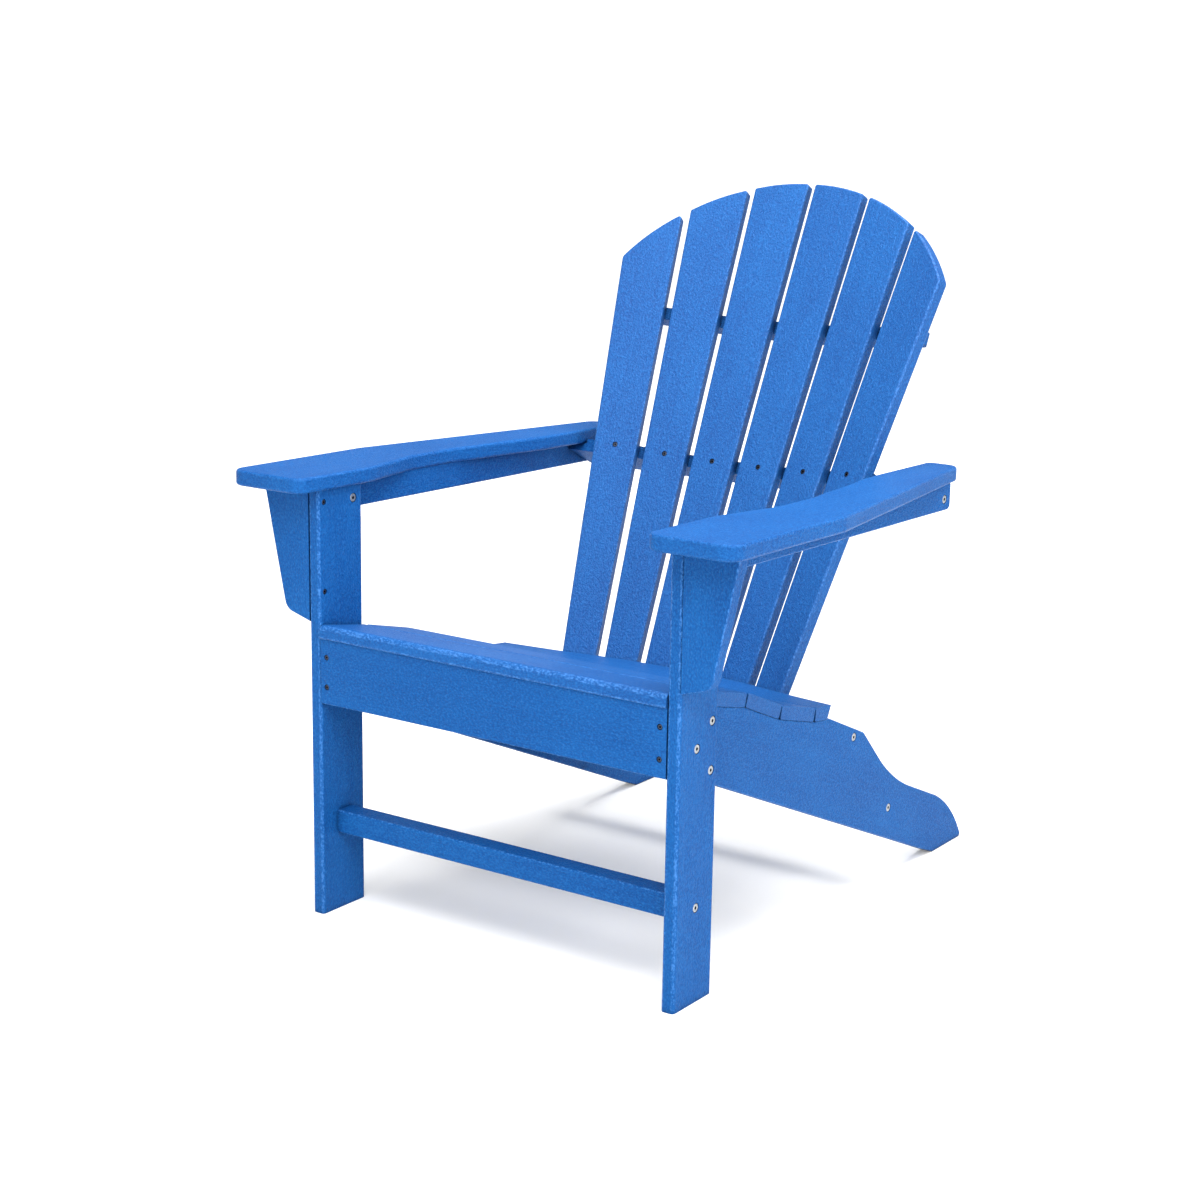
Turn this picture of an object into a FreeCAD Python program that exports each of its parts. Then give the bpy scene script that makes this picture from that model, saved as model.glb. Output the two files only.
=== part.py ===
import FreeCAD, Part
import math
import os

# Fan-back adirondack chair in plastic lumber, built from separate boards, bolts and screws.
# Millimetres, +Z up, the sitter faces -Y, the sitter's left hand is +X.
# The parts are laid out with y = 0 on the front faces of the front legs, then all of them
# are moved together so that the origin is on the floor under the middle of the chair.

V = FreeCAD.Vector

# ---- boards -------------------------------------------------------------------------------
leg_thickness = 19.0
leg_depth = 87.0
legs_outer_width = 589.0
side_rail_thickness = 20.0
arm_thickness = 21.0
arm_rail_thickness = 25.0
arm_rail_height = 36.5
bracket_thickness = 20.0
apron_thickness = 20.0
seat_slat_thickness = 19.0
back_slat_thickness = 19.0
board_edge = 3.0                # rounding along the edges of every board
leg_edge = 4.5                  # and along the front legs
arm_edge = 4.0                  # and along the arms
side_rail_edge = 2.0

# ---- arms ---------------------------------------------------------------------------------
arm_height = 590.0              # underside of the arm at the legs' front faces
arm_fall = 1.17                 # degrees that the arms drop towards the rear
arm_front_overhang = 47.0
arm_rear_overhang = 33.0        # past the rear ends of the rails under the arms
arm_outer_reach = 97.5          # the wide paddle's edge, out from the leg's outer face
arm_inner_reach = 27.0          # the other edges, inward from that face
arm_waist_reach = 3.0           # the narrow part beside the sitter
arm_tail_reach = 29.0
arm_outer_bend = 215.0          # where the outer edge starts to turn in
arm_taper = 9.36                # degrees that the outer edge turns in
arm_waist_start = 85.0
arm_waist_front = 225.0
arm_waist_rear = 290.0
arm_tail_start = 542.0
arm_front_sweep = ((183.0, 0.73), (128.0, 0.25))                # y, and share of the way to the waist
arm_rear_sweep = ((478.0, 0.135), (420.0, 0.48), (345.0, 0.77))
arm_inner_front_corner = 19.0
arm_outer_front_corner = 24.0
arm_outer_rear_corner = 20.0
arm_inner_rear_corner = 12.0
arm_rail_corner = 8.0
arm_relief = 1.0                # the middle back rail is cut low under the arms, from this far inside them

# ---- seat ---------------------------------------------------------------------------------
seat_front_height = 390.4       # underside of the front slat at its front edge
seat_front_overhang = 4.0
seat_pitch = 96.0               # along the seat, from one slat to the next
seat_slat_gap = 2.2             # at the narrowest
seat_falls = (10.7, 13.8, 22.4, 14.9, 6.7)    # degrees that each slat drops towards the rear
seat_nose = 8.0                 # rounding along the front slat's upper front edge
seat_to_back = 1.0              # clearance between the rearmost seat slat and the back slats
seat_end_y = 407.0              # rear of the last slat at its two ends
apron_drop = 90.7               # its lower edge, below the underside of the front slat

# ---- side rails, which end in the rear feet -----------------------------------------------
rail_front_drop = 85.9          # the lower edge at its front end, below the front slat's underside
foot_front = 739.0              # where the rail's lower edge meets the floor
foot_rear = 832.0
foot_heel_height = 5.0
foot_heel_run = 4.0
shoulder_radius = 12.0
shoulder_rise = 3.5             # how far the shoulder stands above and behind the lower back rail
shoulder_cover = 5.5
nape_drop = 53.0                # the 45 degree slope behind the shoulder, measured upright
calf_run = 147.0                # from the shoulder to the straight stretch above the foot
calf_drop = 115.0
calf_length = 90.0              # of that stretch, measured level
nape_hollow = 4.8
heel_bulge = 9.0

# ---- back, in its own tilted plane --------------------------------------------------------
back_foot_y = 459.2             # the middle of the slats' front faces where they leave the seat
back_foot_z = 300.9
recline = 26.2                  # degrees from upright
slat_count = 6
slat_pitch = 64.7               # across the seat
slat_foot_width = 52.0
slat_taper = 1.33               # degrees that each long edge leans out
slat_fan = 2.54                 # degrees from one slat to the next
slat_below_seat = 62.0
hollow_radius_low = 600.0       # radius of the hollow back at the seat
hollow_radius_high = 950.0      # and this far up it
hollow_high = 700.0
arch_radius = 315.0             # the rounded top
arch_centre = 431.3
arch_corner = 10.0              # rounding of the outermost top corners
slat_corner = 3.5

# ---- rails across the back ----------------------------------------------------------------
rail_thickness = 19.0
lower_rail_level = -46.0        # middle of each rail, measured up the back from the seat
mid_rail_drop = 20.0            # its bolts, below the arms' undersides
upper_rail_level = 525.0
lower_rail_rear = 63.5          # depth of the rails' rear edges behind the slats' front faces
mid_rail_rear = 70.5
upper_rail_depth = 34.0         # front to rear of the bowed upper rail
upper_rail_half = 247.0
upper_rail_corner = 11.0
rail_neck_clearance = 2.0       # between the outer slats and the rails' ends
land_overlap = 1.0              # how far each slat's land runs past the middle of the gap

# ---- stretchers between the sides ---------------------------------------------------------
stretcher_height = 32.0
stretcher_depth = 32.0
stretcher_y = 46.0
stretcher_z = 126.3
rear_stretcher_y = 590.0
rear_stretcher_z = 109.0
rear_stretcher_height = 36.0
rear_stretcher_depth = 30.0

# ---- arm brackets -------------------------------------------------------------------------
bracket_top_width = 78.0
bracket_foot_width = 42.0
bracket_height = 180.0
bracket_foot_rise = 12.0
bracket_corner = 18.0
bracket_edge = 2.5

# ---- fasteners ----------------------------------------------------------------------------
bolt_diameter = 6.0
bolt_head_diameter = 11.5
bolt_head_height = 2.4
bolt_recess = 2.7               # depth that the head is let into the board
bolt_socket = 4.2               # across the flats
bolt_socket_depth = 4.5
screw_diameter = 4.0
screw_head_diameter = 6.6
screw_head_height = 2.4
screw_recess = 3.0
screw_socket = 2.8
screw_socket_depth = 3.5
hole_clearance = 0.05           # on the radius, round every shank
head_clearance = 0.7            # and round every head
head_rounding = 0.3             # share of a head's height
drill_past = 1.0                # how far a hole runs past the shank's tip
drill_mouth = 20.0              # and how far it reaches out of the board
leg_bolt_places = ((74.0, 29.4), (40.0, 57.4), (73.0, 92.4))    # y, and drop below the front slat
arm_rail_front_bolt_y = 69.0
arm_rail_past_bolt = 19.0       # from the middle back rail's bolt to the arm rail's rear end
lower_rail_bolt_depth = 42.5    # behind the slats' front faces
mid_rail_bolt_depth = 41.0
apron_screw_drops = (66.4, 25.4)                                # below the front slat's underside
bracket_screw_drops = (138.0, 17.0)                             # below the arm's underside
arm_screw_places = (150.0, 340.0, 560.0)
pocket_lean = 15.0              # degrees that the seat slats' hidden screws lean outwards
pocket_depth = 30.0             # from the seat slat down to the screw's head
pocket_spread = 10.0            # either side of the slat's middle
pocket_edge = 11.0              # least distance from the slat's edge
bolt_tip_cover = 2.0            # wood left past the tip of a bolt through leg and side rail
arm_rail_bolt_cover = 5.0       # and past the tip of one through leg and arm rail
long_bolt = 62.0                # through the side and into the end of a cross rail
apron_screw_bite = 32.0         # length of each screw inside the board that it holds to
bracket_screw_bite = 29.0
slat_screw_bite = 25.0
upper_screw_bite = 13.0
arm_screw_bite = 10.5
pocket_screw_bite = 13.0

# ---- sizes that follow --------------------------------------------------------------------
half = legs_outer_width / 2.0
inner = half - leg_thickness    # the space between the legs, and the seat's half width
frame_inner = inner - side_rail_thickness
arm_rail_outer = half + arm_rail_thickness
arm_outer_x = half + arm_outer_reach
arm_inner_x = half - arm_inner_reach
arm_waist_x = half - arm_waist_reach
arm_tail_x = half - arm_tail_reach
apron_bottom = seat_front_height - apron_drop
rail_front_foot = seat_front_height - rail_front_drop
bracket_foot_z = arm_height - bracket_height
short_bolt = leg_thickness + side_rail_thickness - bolt_tip_cover
arm_rail_bolt = leg_thickness + arm_rail_thickness - arm_rail_bolt_cover
apron_screw = apron_thickness + apron_screw_bite
bracket_screw = leg_thickness + bracket_screw_bite
slat_screw = back_slat_thickness + slat_screw_bite
upper_screw = upper_rail_depth + upper_screw_bite
arm_screw = arm_rail_height + arm_screw_bite
pocket_screw = pocket_depth + pocket_screw_bite
across_chair = V(1, 0, 0)
upright = V(0, 0, 1)
big = 2000.0                    # larger than the chair, for cutting shapes
near = 0.01                     # two places closer than this are the same


def rad(degrees):
    return math.radians(degrees)


def lean(degrees):
    return math.tan(rad(degrees))


# ---- shapes -------------------------------------------------------------------------------
def outline(corners):
    """A face with straight sides."""
    return Part.Face(Part.makePolygon(list(corners) + [corners[0]]))


def side_board(points, x_from, x_to):
    """A board cut to an outline of (y, z) points, lying between two values of x."""
    return outline([V(x_from, y, z) for y, z in points]).extrude(V(x_to - x_from, 0, 0))


def edges_along(shape, direction):
    """The straight edges that run in one direction."""
    found = []
    for edge in shape.Edges:
        if edge.Curve.TypeId == "Part::GeomLine":
            run = edge.tangentAt(edge.FirstParameter)
            if abs(abs(run.dot(direction)) - 1.0) < 1e-6:
                found.append(edge)
    return found


def edges_at(shape, direction, **place):
    """The straight edges that run in one direction and lie at the given x, y or z."""
    return [edge for edge in edges_along(shape, direction)
            if all(abs(getattr(edge.CenterOfMass, axis) - value) < near for axis, value in place.items())]


def flat_edges(shape, axis):
    """The edges that keep one value of x, y or z along their whole length."""
    return [edge for edge in shape.Edges
            if getattr(edge.BoundBox, axis + "Max") - getattr(edge.BoundBox, axis + "Min") < near]


def rounded_bar(length_axis, low, high, radius=board_edge):
    """A rectangular board between two corners, with its four long edges rounded."""
    size = high - low
    bar = Part.makeBox(size.x, size.y, size.z, low)
    return bar.makeFillet(radius, edges_along(bar, length_axis))


def edges_on(shape, point, normal):
    """The edges that lie in one plane."""
    return [edge for edge in shape.Edges
            if all(abs((end - point).dot(normal)) < near for end in edge.discretize(5))]


def mirrored(shape):
    return shape.mirror(V(0, 0, 0), across_chair)


def trim_under_arms(shape, from_x=0.0):
    """Cut off whatever stands above the sloping underside of the arms, outside from_x."""
    for side in (-1, 1):
        low_x = from_x if side > 0 else -from_x - big
        block = Part.makeBox(big, big, big, V(low_x, -big / 2, 0))
        block.rotate(V(0, 0, 0), across_chair, -arm_fall)
        block.translate(V(0, 0, arm_height))
        shape = shape.cut(block)
    return shape


def underside(y):
    """Height of the arm's underside at y."""
    return arm_height - y * lean(arm_fall)


# ---- the back's own directions ------------------------------------------------------------
up_back = V(0, math.sin(rad(recline)), math.cos(rad(recline)))
into_back = V(0, math.cos(rad(recline)), -math.sin(rad(recline)))
back_origin = V(0, back_foot_y, back_foot_z)


def on_back(x, level, depth):
    """A point x across, level up the back and depth behind the front of its middle slats."""
    return back_origin + V(x, 0, 0) + up_back * level + into_back * depth


def level_under_arms(drop, depth):
    """How far up the back a point lies that is so deep behind it and so far below the arms."""
    tilt = rad(recline)
    y = back_foot_y + math.cos(tilt) * depth
    z = back_foot_z - math.sin(tilt) * depth
    return (underside(y) - drop - z) / (math.cos(tilt) + math.sin(tilt) * lean(arm_fall))


mid_rail_level = level_under_arms(mid_rail_drop, mid_rail_bolt_depth)
arm_rail_rear = on_back(0, mid_rail_level, mid_rail_bolt_depth).y + arm_rail_past_bolt
arm_rear = arm_rail_rear + arm_rear_overhang


def slat_frame(number):
    """Foot point and the across, along and through directions of one back slat."""
    place = number - (slat_count - 1) / 2.0
    foot_x = place * slat_pitch
    head_x = foot_x + hollow_high * lean(place * slat_fan)
    foot = on_back(foot_x, 0, -foot_x ** 2 / (2 * hollow_radius_low))
    head = on_back(head_x, hollow_high, -head_x ** 2 / (2 * hollow_radius_high))
    along = (head - foot).normalize()
    turn = math.asin(foot_x / hollow_radius_low)
    flat = V(math.cos(turn), 0, 0) - into_back * math.sin(turn)
    across = (flat - along * flat.dot(along)).normalize()
    through = across.cross(along) * -1
    if through.dot(into_back) < 0:
        through = through * -1
    return foot, across, along, through


def slat_half_width(run):
    return slat_foot_width / 2.0 + run * lean(slat_taper)


def arch_crossing(centre_u, centre_s, side):
    """Where a slat's long edge, on one side of it, meets the arch."""
    grow = lean(slat_taper)
    a = 1 + grow ** 2
    b = 2 * (side * grow * (side * slat_foot_width / 2.0 - centre_u) - centre_s)
    c = (side * slat_foot_width / 2.0 - centre_u) ** 2 + centre_s ** 2 - arch_radius ** 2
    return (-b + math.sqrt(b * b - 4 * a * c)) / (2 * a)


def back_slat(number):
    """One tapered slat, its top cut to the arch, with all its edges rounded."""
    foot, across, along, through = slat_frame(number)
    to_centre = on_back(0, arch_centre, 0) - foot
    centre_u = to_centre.dot(across)
    centre_s = to_centre.dot(along)

    def at(u, run):
        return foot + across * u + along * run

    corners = []
    for side in (-1, 1):
        run = arch_crossing(centre_u, centre_s, side)
        corners.append((side * slat_half_width(run), run))
    middle_u = (corners[0][0] + corners[1][0]) / 2.0
    crown = at(middle_u, centre_s + math.sqrt(arch_radius ** 2 - (middle_u - centre_u) ** 2))
    low = -slat_below_seat
    low_left = at(-slat_half_width(low), low)
    low_right = at(slat_half_width(low), low)
    top_left = at(*corners[0])
    top_right = at(*corners[1])
    rim = [Part.makeLine(low_left, low_right), Part.makeLine(low_right, top_right),
           Part.Arc(top_right, crown, top_left).toShape(), Part.makeLine(top_left, low_left)]
    slat = Part.Face(Part.Wire(rim)).extrude(through * back_slat_thickness)
    for corner, outermost in ((top_left, number == 0), (top_right, number == slat_count - 1)):
        edge = [e for e in edges_along(slat, through)
                if min(corner.distanceToPoint(end.Point) for end in e.Vertexes) < near]
        slat = slat.makeFillet(arch_corner if outermost else slat_corner, edge)
    rims = edges_on(slat, foot, through) + edges_on(slat, foot + through * back_slat_thickness, through)
    return slat.makeFillet(board_edge, rims)


def slat_middle(number, level):
    """The middle of a slat's front face at one level of the back."""
    foot, across, along, through = slat_frame(number)
    return foot + along * (level / along.dot(up_back))


def slat_space(number, level):
    """The space in front of a slat's rear face: what is left behind it is the rail's flat land."""
    foot, across, along, through = slat_frame(number)
    far = big / 4.0
    reach = [far, far]
    for side, neighbour in enumerate((number - 1, number + 1)):
        if 0 <= neighbour < slat_count:
            gap = slat_middle(number, level).distanceToPoint(slat_middle(neighbour, level))
            reach[side] = gap / 2.0 + land_overlap
    left, right = reach
    low = foot - through * far - along * far
    high = foot - through * far + along * far * 2
    face = outline([low - across * left, low + across * right, high + across * right, high - across * left])
    return face.extrude(through * (far + back_slat_thickness))


def outer_edge(level):
    """How far across the outermost slat reaches at one level of the back."""
    foot, across, along, through = slat_frame(slat_count - 1)
    run = level / along.dot(up_back)
    return (foot + across * slat_half_width(run) + along * run).x


def back_rail(level, half_length, rear):
    """A rail across the back, hollowed to the slats and reaching out past them to the sides."""
    low = level - rail_thickness / 2.0
    neck = outer_edge(level + rail_thickness / 2.0) + rail_neck_clearance
    front = -3.0 * back_slat_thickness    # well in front of the hollow, before the slats' lands are cut
    points = [(-half_length, 0), (-neck, 0), (-neck, front), (neck, front), (neck, 0),
              (half_length, 0), (half_length, rear), (-half_length, rear)]
    rail = outline([on_back(x, low, depth) for x, depth in points]).extrude(up_back * rail_thickness)
    for number in range(slat_count):
        rail = rail.cut(slat_space(number, level))
    return rail


def bowed_rail():
    """The rail behind the top of the back, cut to the same bow as the slats in front of it."""
    low = upper_rail_level - rail_thickness / 2.0
    bow = hollow_radius_low + (hollow_radius_high - hollow_radius_low) * upper_rail_level / hollow_high

    def edge_point(x, depth):
        return on_back(x, low, depth - x ** 2 / (2 * bow))

    rear = back_slat_thickness + upper_rail_depth
    end = upper_rail_half
    front = -5.0 * back_slat_thickness
    front_left = on_back(-end, low, front)
    front_right = on_back(end, low, front)
    curve = Part.Arc(edge_point(end, rear), edge_point(0, rear), edge_point(-end, rear)).toShape()
    rim = [Part.makeLine(front_left, front_right), Part.makeLine(front_right, edge_point(end, rear)),
           curve, Part.makeLine(edge_point(-end, rear), front_left)]
    rail = Part.Face(Part.Wire(rim)).extrude(up_back * rail_thickness)
    for number in range(slat_count):
        rail = rail.cut(slat_space(number, upper_rail_level))
    ends = edges_at(rail, up_back, x=end) + edges_at(rail, up_back, x=-end)
    return rail.makeFillet(upper_rail_corner, ends)


# ---- seat profile -------------------------------------------------------------------------
def seat_points():
    """Undersides of the seat slats from front to rear, as (y, z) points."""
    y = -seat_front_overhang
    z = seat_front_height
    points = [(y, z)]
    for fall in seat_falls:
        y += seat_pitch * math.cos(rad(fall))
        z -= seat_pitch * math.sin(rad(fall))
        points.append((y, z))
    return points


seat_line = seat_points()


def seat_underside(y):
    """Height of the seat slats' undersides at y."""
    for (y0, z0), (y1, z1) in zip(seat_line, seat_line[1:]):
        if y <= y1:
            break
    return z0 + (z1 - z0) * (y - y0) / (y1 - y0)


def back_curve(x):
    """y of the hollow of the back at the seat, x from the middle."""
    return back_foot_y - x ** 2 / (2 * hollow_radius_low * math.cos(rad(recline)))


def seat_slat(number):
    """One board across the seat, lying on the side rails."""
    y0, z0 = seat_line[number]
    last = number == len(seat_falls) - 1
    if last:
        width = seat_pitch + 2 * seat_nose
    else:
        fold = max(0.0, seat_falls[number] - seat_falls[number + 1])
        width = seat_pitch - seat_slat_gap - seat_slat_thickness * lean(fold)
    board = Part.makeBox(2 * inner, width, seat_slat_thickness, V(-inner, 0, 0))
    rounded = edges_along(board, across_chair)
    if last:
        rounded = edges_at(board, across_chair, y=0)
    if number == 0:
        board = board.makeFillet(seat_nose, edges_at(board, across_chair, y=0, z=seat_slat_thickness))
        rounded = edges_at(board, across_chair, y=0, z=0) + edges_at(board, across_chair, y=width)
    board = board.makeFillet(board_edge, rounded)
    board.rotate(V(0, 0, 0), across_chair, -seat_falls[number])
    board.translate(V(0, y0, z0))
    if last:
        board = board.cut(behind_seat())
    return board


def behind_seat():
    """The space behind the rearmost seat slat: it curves along the back slats, then runs
    straight out to the ends of the slat."""
    reach = slat_pitch * (slat_count - 1) / 2.0
    drop = back_foot_y - back_curve(reach)
    radius = (reach ** 2 + drop ** 2) / (2 * drop)
    edge_x = outer_edge(0) + rail_neck_clearance
    edge_y = back_foot_y - radius + math.sqrt(radius ** 2 - edge_x ** 2) - seat_to_back
    slope = (seat_end_y - edge_y) / (inner - edge_x)
    past_end = seat_slat_thickness
    far_x = inner + past_end
    far_y = seat_end_y + slope * past_end
    rear_y = back_foot_y + big
    height = 8.0 * seat_slat_thickness

    def point(x, y):
        return V(x, y, back_foot_z)

    hollow = Part.Arc(point(-edge_x, edge_y), point(0, back_foot_y - seat_to_back), point(edge_x, edge_y))
    chain = [point(edge_x, edge_y), point(far_x, far_y), point(far_x, rear_y),
             point(-far_x, rear_y), point(-far_x, far_y), point(-edge_x, edge_y)]
    rim = [hollow.toShape()] + [Part.makeLine(a, b) for a, b in zip(chain, chain[1:])]
    space = Part.Face(Part.Wire(rim)).extrude(up_back * height)
    space.translate(up_back * -height / 2.0)
    return space


# ---- side rails ---------------------------------------------------------------------------
def side_rail():
    """The board that carries the seat and runs down to the floor behind it as the rear leg."""
    front = apron_thickness
    slope = -rail_front_foot / (foot_front - front)

    def point(y, z):
        return V(frame_inner, y, z)

    def bowed(start, end, bulge):
        """An arc that bulges to the left of the way from start to end, seen from the left side."""
        run = (end - start).normalize()
        return Part.Arc(start, (start + end) * 0.5 + V(0, -run.z, run.y) * bulge, end).toShape()

    crest_level = lower_rail_level + rail_thickness / 2.0 + shoulder_rise
    crest = on_back(0, crest_level, lower_rail_rear + shoulder_cover)
    shoulder = point(crest.y, crest.z)
    nape = shoulder + V(0, nape_drop, -nape_drop)
    calf_start = shoulder + V(0, calf_run, -calf_drop)
    calf_end = calf_start + V(0, 1, slope) * calf_length
    heel = point(foot_rear, foot_heel_height)
    seat_end = point(seat_end_y, seat_underside(seat_end_y))
    top = [point(front, seat_underside(front))] + [point(y, z) for y, z in seat_line[1:-1]]
    top += [seat_end, shoulder, nape]
    bottom = [heel, point(foot_rear - foot_heel_run, 0), point(foot_front, 0),
              point(front, rail_front_foot), top[0]]
    edges = [Part.makeLine(a, b) for a, b in zip(top, top[1:])]
    edges += [bowed(nape, calf_start, -nape_hollow), Part.makeLine(calf_start, calf_end),
              bowed(calf_end, heel, heel_bulge)]
    edges += [Part.makeLine(a, b) for a, b in zip(bottom, bottom[1:])]
    board = Part.Face(Part.Wire(edges)).extrude(V(side_rail_thickness, 0, 0))
    board = board.makeFillet(shoulder_radius, edges_at(board, across_chair, y=shoulder.y, z=shoulder.z))
    rims = [edge for x in (frame_inner, inner) for edge in edges_on(board, V(x, 0, 0), across_chair)]
    return board.makeFillet(side_rail_edge, rims)


# ---- front legs, apron and stretchers -----------------------------------------------------
def front_leg():
    leg = rounded_bar(upright, V(inner, 0, 0), V(half, leg_depth, arm_height), leg_edge)
    return trim_under_arms(leg)


def apron():
    top_front = seat_underside(0)
    top_rear = seat_underside(apron_thickness)
    points = [(0, apron_bottom), (apron_thickness, apron_bottom), (apron_thickness, top_rear), (0, top_front)]
    board = side_board(points, -inner, inner)
    return board.makeFillet(board_edge, edges_at(board, across_chair, z=apron_bottom))


def stretcher(y, z, depth, height, half_length):
    low = V(-half_length, y - depth / 2.0, z - height / 2.0)
    high = V(half_length, y + depth / 2.0, z + height / 2.0)
    return rounded_bar(across_chair, low, high)


# ---- arms, arm rails and brackets ---------------------------------------------------------
def arm():
    """The paddle-shaped arm: wide at the front, waisted beside the sitter, narrow at the rear."""
    def at(x, y):
        return V(x, y, 0)

    def sweep(start, base_x, shares, end):
        """A smooth change of width, its ends running straight on into the edges beside it."""
        through = [at(base_x + share * (arm_waist_x - base_x), y) for y, share in shares]
        curve = Part.BSplineCurve()
        curve.interpolate([start] + through + [end], InitialTangent=V(0, -1, 0), FinalTangent=V(0, -1, 0))
        return curve.toShape()

    front = -arm_front_overhang
    tail_width = (arm_rear - arm_outer_bend) * lean(arm_taper)
    outer_front = at(arm_outer_x, front)
    outer_bend = at(arm_outer_x, arm_outer_bend)
    outer_rear = at(arm_outer_x - tail_width, arm_rear)
    inner_rear = at(arm_tail_x, arm_rear)
    tail = at(arm_tail_x, arm_tail_start)
    waist_rear = at(arm_waist_x, arm_waist_rear)
    waist_front = at(arm_waist_x, arm_waist_front)
    waist_start = at(arm_inner_x, arm_waist_start)
    inner_front = at(arm_inner_x, front)
    chain = [waist_start, inner_front, outer_front, outer_bend, outer_rear, inner_rear, tail]
    edges = [Part.makeLine(a, b) for a, b in zip(chain, chain[1:])]
    edges += [sweep(tail, arm_tail_x, arm_rear_sweep, waist_rear), Part.makeLine(waist_rear, waist_front),
              sweep(waist_front, arm_inner_x, arm_front_sweep, waist_start)]
    board = Part.Face(Part.Wire(edges)).extrude(upright * arm_thickness)
    for corner, radius in ((inner_front, arm_inner_front_corner), (outer_front, arm_outer_front_corner),
                           (outer_rear, arm_outer_rear_corner), (inner_rear, arm_inner_rear_corner)):
        board = board.makeFillet(radius, edges_at(board, upright, x=corner.x, y=corner.y))
    board = board.makeFillet(arm_edge, flat_edges(board, "Z"))
    board.rotate(V(0, 0, 0), across_chair, -arm_fall)
    board.translate(V(0, 0, arm_height))
    return board


def arm_rail():
    """The bar under the arm, outside the leg, from the bracket to the rear of the arm."""
    front = bracket_thickness
    top_rear = underside(arm_rail_rear)
    foot_rear_z = top_rear - arm_rail_height
    points = [(front, underside(front) - arm_rail_height), (arm_rail_rear, foot_rear_z),
              (arm_rail_rear, top_rear), (front, underside(front))]
    bar = side_board(points, half, arm_rail_outer)
    bar = bar.makeFillet(arm_rail_corner, edges_at(bar, across_chair, y=arm_rail_rear, z=foot_rear_z))
    sides = edges_on(bar, V(half, 0, 0), across_chair) + edges_on(bar, V(arm_rail_outer, 0, 0), across_chair)
    below = [e for e in sides if e.CenterOfMass.z < underside(e.CenterOfMass.y) - board_edge / 2.0
             and e.CenterOfMass.y > front + near]
    return bar.makeFillet(board_edge, below)


def bracket():
    """The knee under the wide front of the arm, standing on the leg's outer face."""
    top = underside(0)
    knee = V(half + bracket_foot_width, 0, bracket_foot_z + bracket_foot_rise)
    corners = [V(half, 0, bracket_foot_z), V(half, 0, top), V(half + bracket_top_width, 0, top), knee]
    board = outline(corners).extrude(V(0, bracket_thickness, 0))
    board = board.makeFillet(bracket_corner, edges_at(board, V(0, 1, 0), x=knee.x))
    rims = [e for e in flat_edges(board, "Y")
            if e.CenterOfMass.x > half + near and e.CenterOfMass.z < top - near]
    return trim_under_arms(board.makeFillet(bracket_edge, rims))


# ---- fasteners ----------------------------------------------------------------------------
def fastener(point, axis, length, shank, head, head_height, recess, socket, socket_depth):
    """A round head with a hexagonal socket, its shank running along the axis into the wood.

    The point is on the board's face. Returns the fastener and the hole it needs."""
    seat = point + axis * recess
    outer = seat - axis * head_height
    body = Part.makeCylinder(head / 2.0, head_height, outer, axis)
    body = body.makeFillet(head_height * head_rounding, edges_on(body, outer, axis))
    body = body.fuse(Part.makeCylinder(shank / 2.0, length - recess, seat, axis)).removeSplitter()
    steep = abs(axis.z) > math.cos(rad(30))
    side = axis.cross(across_chair if steep else upright).normalize()
    lift = side.cross(axis).normalize()
    radius = socket / math.sqrt(3.0)
    hexagon = [outer + side * radius * math.cos(rad(60 * k)) + lift * radius * math.sin(rad(60 * k))
               for k in range(6)]
    body = body.cut(outline(hexagon).extrude(axis * socket_depth))
    hole = Part.makeCylinder(shank / 2.0 + hole_clearance, length - recess + drill_past, seat, axis)
    opening = recess + drill_mouth
    mouth = Part.makeCylinder(head / 2.0 + head_clearance, opening, seat - axis * opening, axis)
    return body, hole.fuse(mouth)


def bolt(point, axis, length):
    return fastener(point, axis, length, bolt_diameter, bolt_head_diameter, bolt_head_height,
                    bolt_recess, bolt_socket, bolt_socket_depth)


def screw(point, axis, length):
    return fastener(point, axis, length, screw_diameter, screw_head_diameter, screw_head_height,
                    screw_recess, screw_socket, screw_socket_depth)


# ---- the chair ----------------------------------------------------------------------------
nodes = {}


def add_pair(name, shape):
    """A board on the sitter's left and its mirror image on the right."""
    nodes["left_" + name] = shape
    nodes["right_" + name] = mirrored(shape)


for count in range(slat_count):
    nodes["back_slat_%d" % (count + 1)] = back_slat(count)
for count in range(len(seat_falls)):
    nodes["seat_slat_%d" % (count + 1)] = seat_slat(count)
nodes["upper_back_rail"] = bowed_rail()
mid_rail = back_rail(mid_rail_level, half, mid_rail_rear)
nodes["mid_back_rail"] = trim_under_arms(mid_rail, arm_tail_x - arm_relief)
nodes["lower_back_rail"] = back_rail(lower_rail_level, frame_inner, lower_rail_rear)
nodes["apron"] = apron()
nodes["front_stretcher"] = stretcher(stretcher_y, stretcher_z, stretcher_depth, stretcher_height, inner)
nodes["rear_stretcher"] = stretcher(rear_stretcher_y, rear_stretcher_z, rear_stretcher_depth,
                                    rear_stretcher_height, frame_inner)
add_pair("front_leg", front_leg())
add_pair("side_rail", side_rail())
add_pair("arm", arm())
add_pair("arm_rail", arm_rail())
add_pair("arm_bracket", bracket())

fasteners = {}


def fix(group, kind, point, axis, length, through):
    """Put in one fastener and drill its hole in the boards it passes through."""
    body, hole = kind(point, axis, length)
    fasteners.setdefault(group, []).append(body)
    for name in through:
        nodes[name] = nodes[name].cut(hole)


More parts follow.
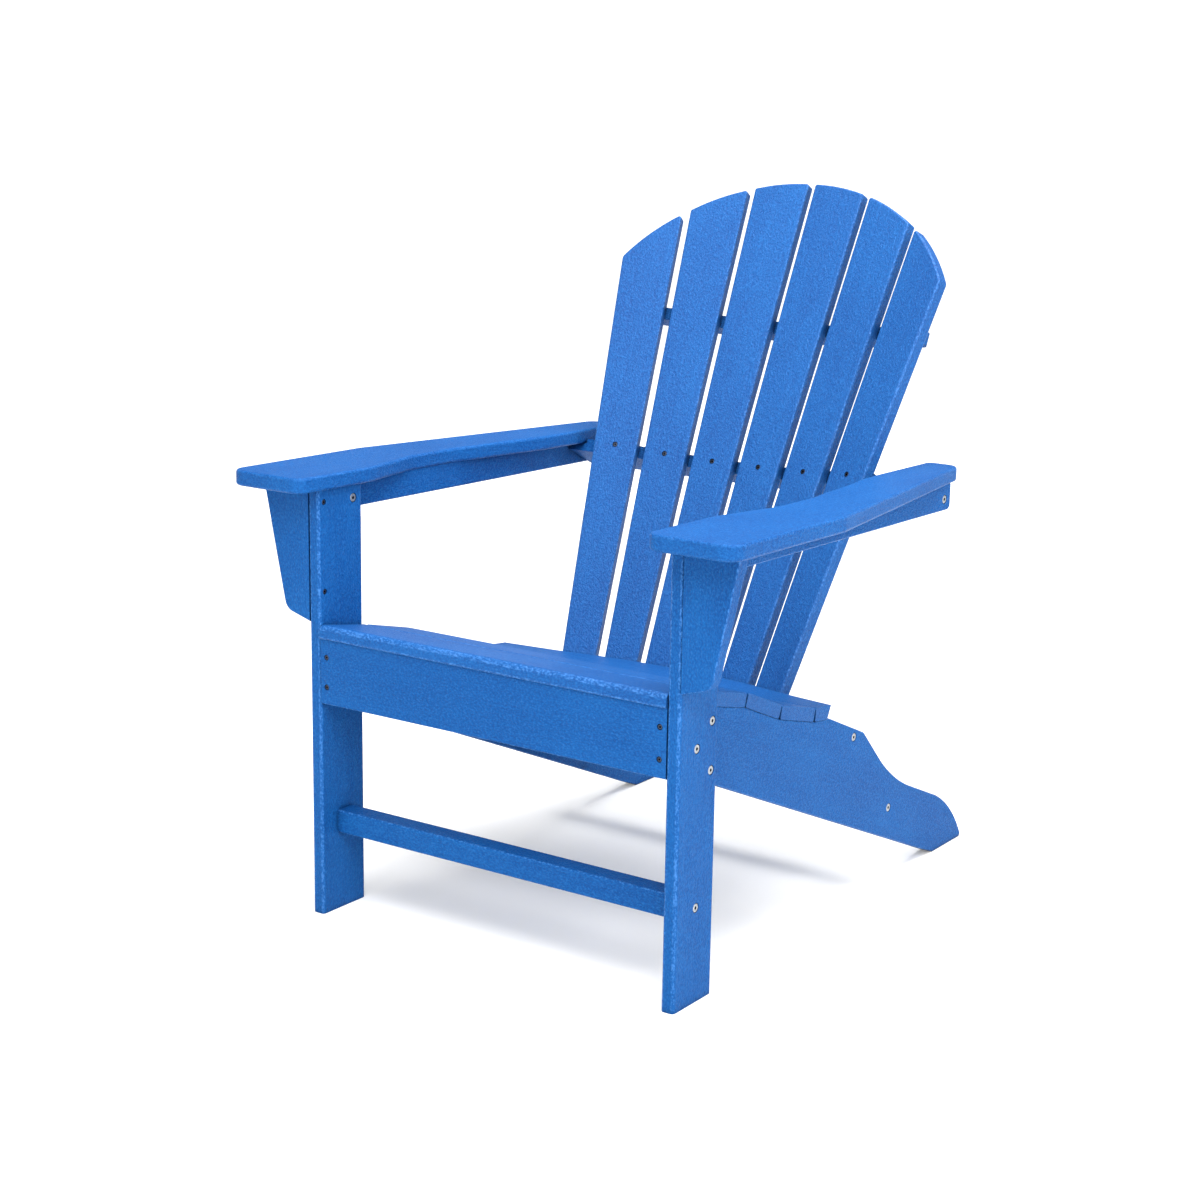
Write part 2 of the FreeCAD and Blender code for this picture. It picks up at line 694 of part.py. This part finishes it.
for side, hand in ((1, "left_"), (-1, "right_")):
    outward = V(side, 0, 0)
    inward = V(-side, 0, 0)
    for y, drop in leg_bolt_places:
        fix("leg_bolts", bolt, V(side * half, y, seat_front_height - drop), inward, short_bolt,
            (hand + "front_leg", hand + "side_rail"))
    fix("front_stretcher_bolts", bolt, V(side * half, stretcher_y, stretcher_z), inward, long_bolt,
        (hand + "front_leg", "front_stretcher"))
    fix("rear_stretcher_bolts", bolt, V(side * inner, rear_stretcher_y, rear_stretcher_z), inward, long_bolt,
        (hand + "side_rail", "rear_stretcher"))
    fix("lower_rail_bolts", bolt, on_back(side * inner, lower_rail_level, lower_rail_bolt_depth), inward,
        long_bolt, (hand + "side_rail", "lower_back_rail"))
    fix("arm_rail_rear_bolts", bolt, on_back(side * arm_rail_outer, mid_rail_level, mid_rail_bolt_depth),
        inward, long_bolt, (hand + "arm_rail", "mid_back_rail"))
    fix("arm_rail_front_bolts", bolt,
        V(side * inner, arm_rail_front_bolt_y, underside(arm_rail_front_bolt_y) - arm_rail_height / 2.0),
        outward, arm_rail_bolt, (hand + "front_leg", hand + "arm_rail"))
    for drop in bracket_screw_drops:
        fix("bracket_screws", screw, V(side * inner, bracket_thickness / 2.0, arm_height - drop), outward,
            bracket_screw, (hand + "front_leg", hand + "arm_bracket"))
    rail_middle = side * (frame_inner + side_rail_thickness / 2.0)
    for drop in apron_screw_drops:
        fix("apron_screws", screw, V(rail_middle, 0, seat_front_height - drop), V(0, 1, 0),
            apron_screw, ("apron", hand + "side_rail"))
    arm_up = V(0, math.sin(rad(arm_fall)), math.cos(rad(arm_fall)))
    arm_rail_middle = side * (half + arm_rail_thickness / 2.0)
    for y in arm_screw_places:
        fix("arm_screws", screw, V(arm_rail_middle, y, underside(y) - arm_rail_height),
            arm_up, arm_screw, (hand + "arm_rail", hand + "arm"))

    # the seat slats' screws come up at a slant out of pockets inside the side rails
    for count, fall in enumerate(seat_falls):
        front_y = max(seat_line[count][0], apron_thickness)
        front_z = seat_underside(front_y)
        rear_y = min(seat_line[count + 1][0], seat_end_y)
        down_slope = V(0, math.cos(rad(fall)), -math.sin(rad(fall)))
        normal = V(0, math.sin(rad(fall)), math.cos(rad(fall)))
        axis = normal * math.cos(rad(pocket_lean)) + outward * math.sin(rad(pocket_lean))
        length = (rear_y - front_y) / math.cos(rad(fall))
        spread = min(pocket_spread, length / 2.0 - pocket_edge)
        for step in (-spread, spread):
            mark = V(rail_middle, front_y, front_z) + down_slope * (length / 2.0 + step)
            fix("seat_screws", screw, mark - axis * (pocket_depth + screw_recess), axis,
                pocket_screw + screw_recess, (hand + "side_rail", "seat_slat_%d" % (count + 1)))

for count in range(slat_count):
    through = slat_frame(count)[3]
    slat = "back_slat_%d" % (count + 1)
    for group, level, rail in (("mid_rail_screws", mid_rail_level, "mid_back_rail"),
                               ("lower_rail_screws", lower_rail_level, "lower_back_rail")):
        fix(group, screw, slat_middle(count, level), through, slat_screw, (slat, rail))
    behind = slat_middle(count, upper_rail_level) + through * (back_slat_thickness + upper_rail_depth)
    fix("upper_rail_screws", screw, behind, through * -1, upper_screw, (slat, "upper_back_rail"))

for group, bodies in fasteners.items():
    nodes[group] = Part.Compound(bodies)

front_y = nodes["left_arm"].optimalBoundingBox().YMin
to_origin = V(0, -(front_y + foot_rear) / 2.0, 0)
os.makedirs("parts", exist_ok=True)
for name, shape in nodes.items():
    shape.translate(to_origin)
    shape.exportStep("parts/%s.step" % name)
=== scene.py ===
import bpy
import math
from mathutils import Matrix, Vector

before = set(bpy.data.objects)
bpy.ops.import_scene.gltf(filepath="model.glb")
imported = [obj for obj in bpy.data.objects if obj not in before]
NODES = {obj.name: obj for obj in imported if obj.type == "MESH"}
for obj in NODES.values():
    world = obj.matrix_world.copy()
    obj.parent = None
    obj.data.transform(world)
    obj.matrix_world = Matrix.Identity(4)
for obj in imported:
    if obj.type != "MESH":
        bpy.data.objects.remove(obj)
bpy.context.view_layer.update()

# Blender scene for a fan-back adirondack chair in plastic lumber.
# Metres, +Z up, the sitter faces -Y. Every board, bolt and screw keeps its CAD shape. This
# script gives each one its finish, and builds the floor, the lights and the camera.


# ---- shader maths -------------------------------------------------------------------------
class Value:
    """A number that varies over a surface: a socket that takes part in Python sums."""

    def __init__(self, shader, socket):
        self.shader = shader
        self.socket = socket

    def _math(self, operation, *values):
        node = self.shader.node("ShaderNodeMath", {"operation": operation}, dict(enumerate(values)))
        return Value(self.shader, node.outputs[0])

    def __add__(self, other):
        return self._math("ADD", self, other)

    def __radd__(self, other):
        return self._math("ADD", self, other)

    def __sub__(self, other):
        return self._math("SUBTRACT", self, other)

    def __rsub__(self, other):
        return self._math("SUBTRACT", other, self)

    def __mul__(self, other):
        return self._math("MULTIPLY", self, other)

    def __rmul__(self, other):
        return self._math("MULTIPLY", self, other)

    def size(self):
        """The number without its sign."""
        return self._math("ABSOLUTE", self)

    def above(self, low, high):
        """0 below low, 1 above high, smooth between them."""
        node = self.shader.node("ShaderNodeMapRange", {"interpolation_type": "SMOOTHSTEP"},
                                {"Value": self, "From Min": low, "From Max": high})
        return Value(self.shader, node.outputs["Result"])


class Shader:
    """A material's node tree, with one way to add a node."""

    def __init__(self, name):
        self.material = bpy.data.materials.new(name)
        self.material.use_nodes = True
        self.tree = self.material.node_tree
        self.tree.nodes.clear()
        self.surface = self.node("ShaderNodeBsdfPrincipled")
        output = self.node("ShaderNodeOutputMaterial")
        self.tree.links.new(self.surface.outputs[0], output.inputs["Surface"])

    def node(self, kind, settings=None, inputs=None):
        """Adds a node: its settings first, then the values or links of its sockets."""
        node = self.tree.nodes.new(kind)
        for key, setting in (settings or {}).items():
            setattr(node, key, setting)
        for key, value in (inputs or {}).items():
            self.feed(node.inputs[key], value)
        return node

    def feed(self, socket, value):
        """Links a socket to what varies, or sets it to a constant."""
        if isinstance(value, Value):
            value = value.socket
        if isinstance(value, bpy.types.NodeSocket):
            self.tree.links.new(value, socket)
        else:
            socket.default_value = value

    def skin(self, name, value):
        """Feeds or sets one of the surface's own sockets, by its name."""
        self.feed(self.surface.inputs[name], value)

    def place(self):
        """Position in the chair's own frame, in metres."""
        return self.node("ShaderNodeTexCoord").outputs["Object"]

    def stretched(self, along, amount):
        """Position squeezed along one direction, so that a pattern comes out longer that way."""
        turn = Vector(along).normalized().rotation_difference(Vector((0, 0, 1))).to_euler()
        turned = self.node("ShaderNodeMapping", {"vector_type": "POINT"},
                           {"Vector": self.place(), "Rotation": turn})
        return self.node("ShaderNodeVectorMath", {"operation": "MULTIPLY"},
                         {0: turned.outputs[0], 1: (1.0, 1.0, 1.0 / amount)}).outputs[0]

    def noise(self, place, per_metre, detail, roughness, shift):
        """Soft random pattern, so many to the metre. A different shift gives a different one."""
        node = self.node("ShaderNodeTexNoise", {"noise_dimensions": "4D"},
                         {"Vector": place, "Scale": per_metre, "Detail": detail,
                          "Roughness": roughness, "W": shift})
        return Value(self, node.outputs[0])

    def cells(self, place, per_metre):
        """Rounded pits, 0 at the middle of each."""
        node = self.node("ShaderNodeTexVoronoi", {"feature": "SMOOTH_F1"},
                         {"Vector": place, "Scale": per_metre, "Smoothness": 0.6})
        return Value(self, node.outputs["Distance"])

    def mix(self, factor, first, second):
        """The first colour where the factor is 0, the second where it is 1."""
        node = self.node("ShaderNodeMix", {"data_type": "RGBA"}, {"Factor": factor})
        self.feed(node.inputs[6], first)
        self.feed(node.inputs[7], second)
        return node.outputs[2]

    def rounding(self, broad):
        """1 on the rounded edges of a board whose broad side faces that way, 0 on its flats."""
        facing = self.node("ShaderNodeTexCoord").outputs["Normal"]
        turned = self.node("ShaderNodeVectorMath", {"operation": "DOT_PRODUCT"}, {0: facing, 1: broad})
        lean = Value(self, turned.outputs["Value"]).size()
        return (4.0 * lean * (1.0 - lean)).above(0.12, 0.55)

    def shade_mask(self, reach):
        """1 in the gaps where pieces meet, narrower than the reach, 0 on open surfaces: the mask for painted
        shade.
        """
        node = self.node("ShaderNodeAmbientOcclusion", {"samples": 6}, {"Distance": reach})
        return 1.0 - Value(self, node.outputs["AO"]).above(0.15, 0.80)

    def bump(self, height, distance, strength):
        """Raises the surface by its height pattern times the distance in metres."""
        node = self.node("ShaderNodeBump", {}, {"Height": height, "Distance": distance, "Strength": strength})
        self.skin("Normal", node.outputs[0])


# ---- plastic boards -----------------------------------------------------------------------
BLUE = (0.0065, 0.096, 0.318, 1.0)
DEEP_BLUE = (0.003, 0.050, 0.205, 1.0)
# Pale blue for the painted highlight on rounded edges and pebble tips.
EDGE_HIGHLIGHT_BLUE = (0.045, 0.168, 0.455, 1.0)
# Near-black for the painted shade in seams and gaps where pieces meet.
SHADED_BLUE = (0.0005, 0.006, 0.028, 1.0)

# How many of each mark there are to the metre, and how many times longer than wide it is drawn.
PEBBLES, PITS, BLOTCHES, PEBBLE_DRAW = 420.0, 560.0, 90.0, 1.6
DRAW_LINES, LINE_DRAW = 260.0, 40.0
CLOUDS, CLOUD_DRAW = 14.0, 2.5
SKIN_RELIEF = 0.0024
# How far the painted shade in the seams reaches, in metres.
SHADE_REACH = 0.016


def plastic_lumber(name, along, broad, shift, gloss, edge_highlight):
    """Solid-coloured extruded board: pebbled skin, faint draw lines, and painted light: a painted highlight
    on the rounded edges and pebble tips, and painted shade in the seams where pieces meet.

    gloss is the skin's reflection, and the last argument is how strong the painted highlight on the rounded
    edges is."""
    shader = Shader(name)
    drawn = shader.stretched(along, PEBBLE_DRAW)
    lines = shader.noise(shader.stretched(along, LINE_DRAW), DRAW_LINES, 2.0, 0.5, shift)
    pebbles = shader.noise(drawn, PEBBLES, 3.0, 0.62, shift + 1.0)
    pits = shader.cells(drawn, PITS)
    clouds = shader.noise(shader.stretched(along, CLOUD_DRAW), CLOUDS, 3.0, 0.55, shift + 2.0)
    blotches = shader.noise(drawn, BLOTCHES, 3.0, 0.6, shift + 3.0)
    edge = shader.rounding(broad)

    shade = clouds.above(0.30, 0.70) * 0.26 + pebbles.above(0.36, 0.64) * 0.60 + lines.above(0.3, 0.7) * 0.14
    colour = shader.mix(shade, DEEP_BLUE, BLUE)
    # Painted highlight: the rounded edges, and the pebble tips on the flats, go pale towards the lighter blue
    # as if they caught the light.
    glints = edge * edge_highlight * (0.14 + pebbles.above(0.46, 0.60) * 0.60 + blotches.above(0.45, 0.62) * 0.16)
    painted_highlights = (glints + pebbles.above(0.55, 0.63) * (1.0 - edge) * 0.24).above(0.0, 1.0)
    highlighted = shader.mix(painted_highlights, colour, EDGE_HIGHLIGHT_BLUE)
    # Painted shade: darkened towards near-black in the gaps where pieces meet.
    seam_shade = shader.shade_mask(SHADE_REACH) * 0.92
    shader.skin("Base Color", shader.mix(seam_shade, highlighted, SHADED_BLUE))
    shader.skin("Roughness", 0.46 + pits * 0.10 + blotches * 0.08 - edge * 0.12)
    shader.skin("Specular IOR Level", gloss)
    shader.bump(pebbles * 0.8 + pits * 0.30 + lines * 0.20, SKIN_RELIEF, 1.0)
    return shader.material


# ---- fasteners ----------------------------------------------------------------------------
BOLT_STEEL = (0.34, 0.36, 0.39, 1.0)
SCREW_STEEL = (0.05, 0.06, 0.09, 1.0)
SOCKET_SHADOW = (0.012, 0.014, 0.018, 1.0)
SOCKET_REACH = 0.006
STAINS, SCRATCHES = 420.0, 3200.0
SCRATCH_RELIEF = 0.00005


def stainless(name, tint, shift):
    """Turned stainless steel, dulled a little by weather, with painted shade in its sockets."""
    shader = Shader(name)
    place = shader.place()
    stains = shader.noise(place, STAINS, 3.0, 0.6, shift)
    scratches = shader.noise(place, SCRATCHES, 2.0, 0.6, shift + 1.0)
    dull = stains.above(0.35, 0.70)
    stained = tuple(channel * 0.62 for channel in tint[:3]) + (1.0,)
    weathered = shader.mix(dull * 0.7, tint, stained)
    # Painted shade: the sockets and recesses darken to near-black.
    shader.skin("Base Color", shader.mix(shader.shade_mask(SOCKET_REACH), weathered, SOCKET_SHADOW))
    shader.skin("Metallic", 1.0)
    shader.skin("Roughness", 0.28 + dull * 0.16 + scratches * 0.10)
    shader.bump(scratches, SCRATCH_RELIEF, 0.6)
    return shader.material


# ---- which way each board was drawn -------------------------------------------------------
ACROSS = (1, 0, 0)
UPRIGHT = (0, 0, 1)
FORE_AND_AFT = (0, 1, -0.02)
DOWN_TO_THE_REAR = (0, 1, -0.43)
RECLINE = math.radians(26.2)
FAN = math.radians(2.54)
BACK_SLATS = range(1, 7)
SEAT_SLATS = range(1, 6)
MIDDLE_OF_BACK = 3.5


def slat_direction(number):
    """Along one back slat: up the reclined back, fanned out from the middle."""
    lean = math.tan((number - MIDDLE_OF_BACK) * FAN)
    return (lean, math.sin(RECLINE), math.cos(RECLINE))


def drawn_directions():
    """Every board's name, and the direction along its length."""
    along = {"back_slat_%d" % number: slat_direction(number) for number in BACK_SLATS}
    for number in SEAT_SLATS:
        along["seat_slat_%d" % number] = ACROSS
    for name in ("upper_back_rail", "mid_back_rail", "lower_back_rail",
                 "apron", "front_stretcher", "rear_stretcher"):
        along[name] = ACROSS
    for hand in ("left_", "right_"):
        along[hand + "front_leg"] = UPRIGHT
        along[hand + "arm_bracket"] = UPRIGHT
        along[hand + "side_rail"] = DOWN_TO_THE_REAR
        along[hand + "arm"] = FORE_AND_AFT
        along[hand + "arm_rail"] = FORE_AND_AFT
    return along


# ---- finishes on the pieces ---------------------------------------------------------------
PATTERN_STEP = 3.7


def gloss_and_edge_highlight(name):
    """How glossy a board's skin is, and how strong the painted highlight on its rounded edges is."""
    if name.startswith("back_slat"):
        return 0.22, 0.75
    if name.startswith("seat_slat"):
        return 0.14, 0.90
    if name.endswith("_arm"):
        return 0.10, 0.35
    return 0.08, 0.85


def broad_side(piece):
    """The direction that most of a board's surface faces, either way round."""
    areas = {}
    for face in piece.data.polygons:
        normal = face.normal if max(face.normal, key=abs) > 0 else -face.normal
        key = tuple(round(part, 2) for part in normal)
        areas[key] = areas.get(key, 0.0) + face.area
    return Vector(max(areas, key=areas.get)).normalized()


def dress(name, material):
    """Gives a node one material in place of its own."""
    piece = NODES[name]
    piece.data.materials.clear()
    piece.data.materials.append(material)


def finish_boards():
    """A skin for each board, drawn along it, with a pattern of its own."""
    for count, (name, along) in enumerate(sorted(drawn_directions().items())):
        broad = broad_side(NODES[name])
        gloss, edge_highlight = gloss_and_edge_highlight(name)
        dress(name, plastic_lumber("plastic_" + name, along, broad, count * PATTERN_STEP, gloss, edge_highlight))


def finish_fasteners():
    """Bright bolts and dark screws."""
    bolt_steel = stainless("bolt_steel", BOLT_STEEL, 1.0)
    screw_steel = stainless("screw_steel", SCREW_STEEL, 9.0)
    for name in NODES:
        if name.endswith("_bolts"):
            dress(name, bolt_steel)
        elif name.endswith("_screws"):
            dress(name, screw_steel)


# ---- floor, light and camera --------------------------------------------------------------
# The sweep's radius and height at each ring, from the middle of the floor to the wall's top.
SWEEP = [(0.0, 0.0), (2.7, 0.0), (9.0, 0.0), (10.0, 0.15), (10.8, 0.6), (11.2, 1.2), (11.3, 2.0)]
SWEEP_SIDES = 64
# A light's name, place, width in metres and power in watts.
LIGHTS = [("key", (0.9, -2.0, 3.05), 2.3, 152.0),
          ("overhead", (0.2, 0.7, 3.3), 2.6, 160.0),
          ("side", (3.4, -0.5, 1.9), 3.0, 92.0),
          ("front", (-1.7, -4.2, 1.9), 1.6, 28.0),
          ("strip", (3.1, -3.4, 1.5), 0.5, 12.0)]
MIDDLE_OF_CHAIR = (0.0, 0.0, 0.45)


def backdrop_paint(name, tint, glow):
    """Matt pale paint that also glows a little, so that the background stays even."""
    shader = Shader(name)
    shader.skin("Base Color", tint)
    shader.skin("Roughness", 0.9)
    shader.skin("Specular IOR Level", 0.1)
    shader.skin("Emission Color", (1.0, 1.0, 1.0, 1.0))
    shader.skin("Emission Strength", glow)
    return shader.material


def studio():
    """A pale studio floor that sweeps up into a plain wall all round."""
    turns = [2 * math.pi * side / SWEEP_SIDES for side in range(SWEEP_SIDES)]
    points = [(radius * math.cos(turn), radius * math.sin(turn), height)
              for radius, height in SWEEP for turn in turns]
    faces = []
    for ring in range(len(SWEEP) - 1):
        inner, outer = ring * SWEEP_SIDES, (ring + 1) * SWEEP_SIDES
        for side in range(SWEEP_SIDES):
            beside = (side + 1) % SWEEP_SIDES
            faces.append((inner + side, inner + beside, outer + beside, outer + side))
    mesh = bpy.data.meshes.new("studio_sweep")
    mesh.from_pydata(points, [], faces)
    mesh.shade_smooth()
    mesh.materials.append(backdrop_paint("studio_floor", (0.88, 0.87, 0.84, 1.0), 0.20))
    mesh.materials.append(backdrop_paint("studio_wall", (0.88, 0.88, 0.88, 1.0), 0.80))
    for face in mesh.polygons:
        face.material_index = 0 if face.index < SWEEP_SIDES else 1
    piece = bpy.data.objects.new("studio_sweep", mesh)
    bpy.context.scene.collection.objects.link(piece)


def soft_light(name, place, size, power):
    """A square studio light of that size, pointing at the middle of the chair."""
    lamp = bpy.data.lights.new(name, "AREA")
    lamp.shape = "SQUARE"
    lamp.size = size
    lamp.energy = power
    piece = bpy.data.objects.new(name, lamp)
    piece.location = place
    aim = Vector(MIDDLE_OF_CHAIR) - Vector(place)
    piece.rotation_euler = aim.to_track_quat("-Z", "Y").to_euler()
    bpy.context.scene.collection.objects.link(piece)


def room_light():
    """Even white light from all round, and colours shown as they are."""
    world = bpy.data.worlds.new("studio")
    world.use_nodes = True
    background = world.node_tree.nodes["Background"]
    background.inputs["Color"].default_value = (1.0, 1.0, 1.0, 1.0)
    background.inputs["Strength"].default_value = 0.30
    bpy.context.scene.world = world
    bpy.context.scene.view_settings.view_transform = "Standard"
    bpy.context.scene.view_settings.look = "None"


def studio_camera(place, azimuth, elevation, roll, lens):
    """A camera that looks down at the chair from the front, on the sitter's left."""
    a, e, r = (math.radians(angle) for angle in (azimuth, elevation, roll))
    ahead = Vector((-math.sin(a) * math.cos(e), math.cos(a) * math.cos(e), -math.sin(e)))
    level = Vector((math.cos(a), math.sin(a), 0.0))
    upright = level.cross(ahead)
    right = level * math.cos(r) + upright * math.sin(r)
    up = upright * math.cos(r) - level * math.sin(r)
    data = bpy.data.cameras.new("studio_camera")
    data.lens = lens
    data.sensor_width = 36.0
    data.clip_end = 100.0
    piece = bpy.data.objects.new("studio_camera", data)
    turn = Matrix((right, up, -ahead)).transposed().to_4x4()
    piece.matrix_world = Matrix.Translation(Vector(place)) @ turn
    bpy.context.scene.collection.objects.link(piece)
    bpy.context.scene.camera = piece


finish_boards()
finish_fasteners()
studio()
for name, place, size, power in LIGHTS:
    soft_light(name, place, size, power)
room_light()
studio_camera((1.7322, -2.6526, 1.1588), 34.565, 13.32, 0.91, 69.8)
